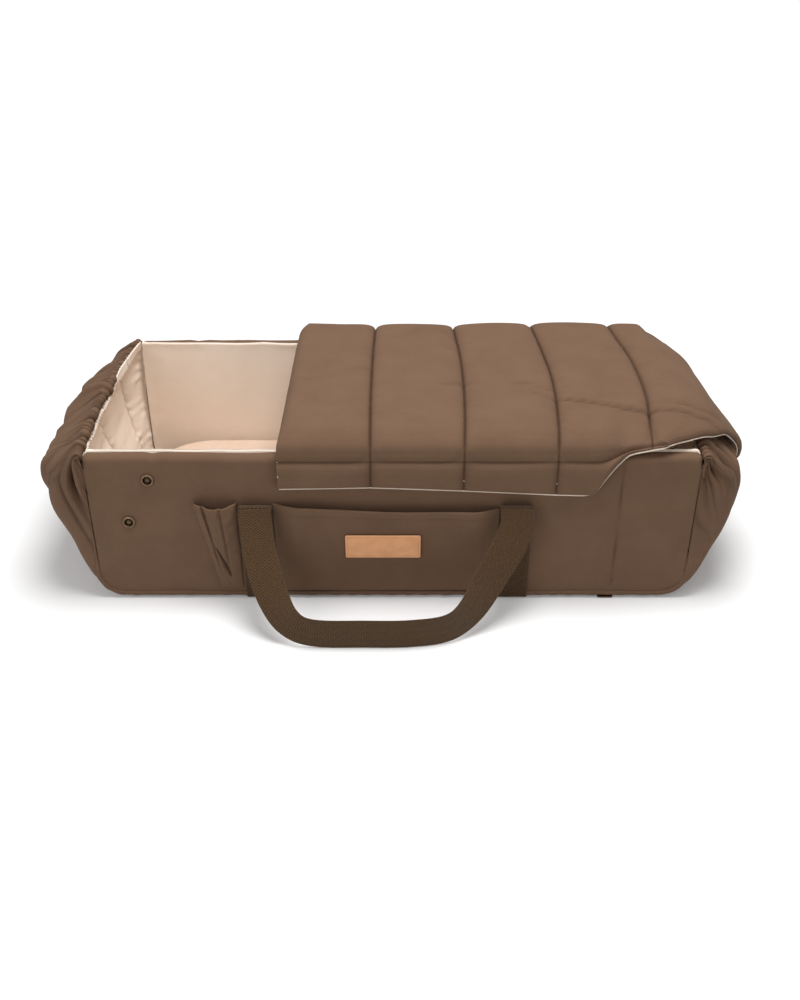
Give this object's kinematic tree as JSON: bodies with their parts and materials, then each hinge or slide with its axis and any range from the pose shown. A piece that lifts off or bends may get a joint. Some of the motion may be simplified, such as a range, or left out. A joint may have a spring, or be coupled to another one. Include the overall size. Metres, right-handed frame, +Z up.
{
  "type": "carrycot",
  "caption": "Soft padded carrycot with webbing handles, a loose mattress and a quilted cover that folds back over the foot end.",
  "frame": {"origin": "middle of the floor area that the cot covers, handles included, on the floor", "axes": "+X along the cot to the foot end, -Y to the side with the pocket and leather patch, +Z up"},
  "size_m": [0.8558, 0.5406, 0.2294],
  "materials": {
    "brown_cotton": "matte",
    "beige_cotton": "matte",
    "olive_webbing": "matte",
    "tan_leather": "satin",
    "aged_brass": "satin",
    "board": "matte",
    "foam": "matte",
    "elastic": "matte",
    "zip_tape": "matte",
    "white_tag": "matte"
  },
  "bodies": {
    "root": {"base_board": "board", "base_panel": "brown_cotton", "base_zip_tape": "zip_tape", "bottle_pouch": "brown_cotton", "care_label": "white_tag", "floor_lining": "beige_cotton", "foot_cover_lining": "beige_cotton", "foot_cover_quilt": "brown_cotton", "foot_elastic": "elastic", "foot_end_lining": "beige_cotton", "foot_end_panel": "brown_cotton", "foot_rim_casing": "brown_cotton", "front_lining": "beige_cotton", "front_pocket": "brown_cotton", "front_side_panel": "brown_cotton", "front_stiffener": "foam", "front_stud_lower": "aged_brass", "front_stud_lower_back": "aged_brass", "front_stud_upper": "aged_brass", "front_stud_upper_back": "aged_brass", "head_elastic": "elastic", "head_end_lining": "beige_cotton", "head_end_panel": "brown_cotton", "head_rim_casing": "brown_cotton", "label_patch": "tan_leather", "rear_lining": "beige_cotton", "rear_side_panel": "brown_cotton", "rear_stiffener": "foam", "rear_stud_lower": "aged_brass", "rear_stud_lower_back": "aged_brass", "rear_stud_upper": "aged_brass", "rear_stud_upper_back": "aged_brass", "strap_left": "olive_webbing", "strap_right": "olive_webbing"},
    "cover": {"cover_lining": "beige_cotton", "cover_quilt": "brown_cotton"},
    "front_handle": {"front_handle": "olive_webbing"},
    "rear_handle": {"rear_handle": "olive_webbing"},
    "mattress": {"mattress_core": "foam", "mattress_cover": "beige_cotton", "mattress_under_sheet": "beige_cotton"},
    "zip_slider": {"base_zip_pull": "aged_brass", "base_zip_slider": "aged_brass"}
  },
  "joints": [
    {"name": "cover_fold", "type": "hinge", "parent": "root", "child": "cover", "pos_m": [0.292, 0, 0.2226], "axis": [0, 1, 0], "range_deg": [0, 160]},
    {"name": "front_handle_swing", "type": "hinge", "parent": "root", "child": "front_handle", "pos_m": [0, -0.1862, 0.1335], "axis": [-1, 0, 0], "range_deg": [0, 144]},
    {"name": "rear_handle_swing", "type": "hinge", "parent": "root", "child": "rear_handle", "pos_m": [0, 0.1862, 0.1335], "axis": [1, 0, 0], "range_deg": [0, 144]},
    {"name": "mattress_lift", "type": "slide", "parent": "root", "child": "mattress", "axis": [0, 0, 1], "range_m": [0, 0.135]},
    {"name": "base_zip_slide", "type": "slide", "parent": "root", "child": "zip_slider", "axis": [0, 1, 0], "range_m": [0, 0.331]}
  ]
}
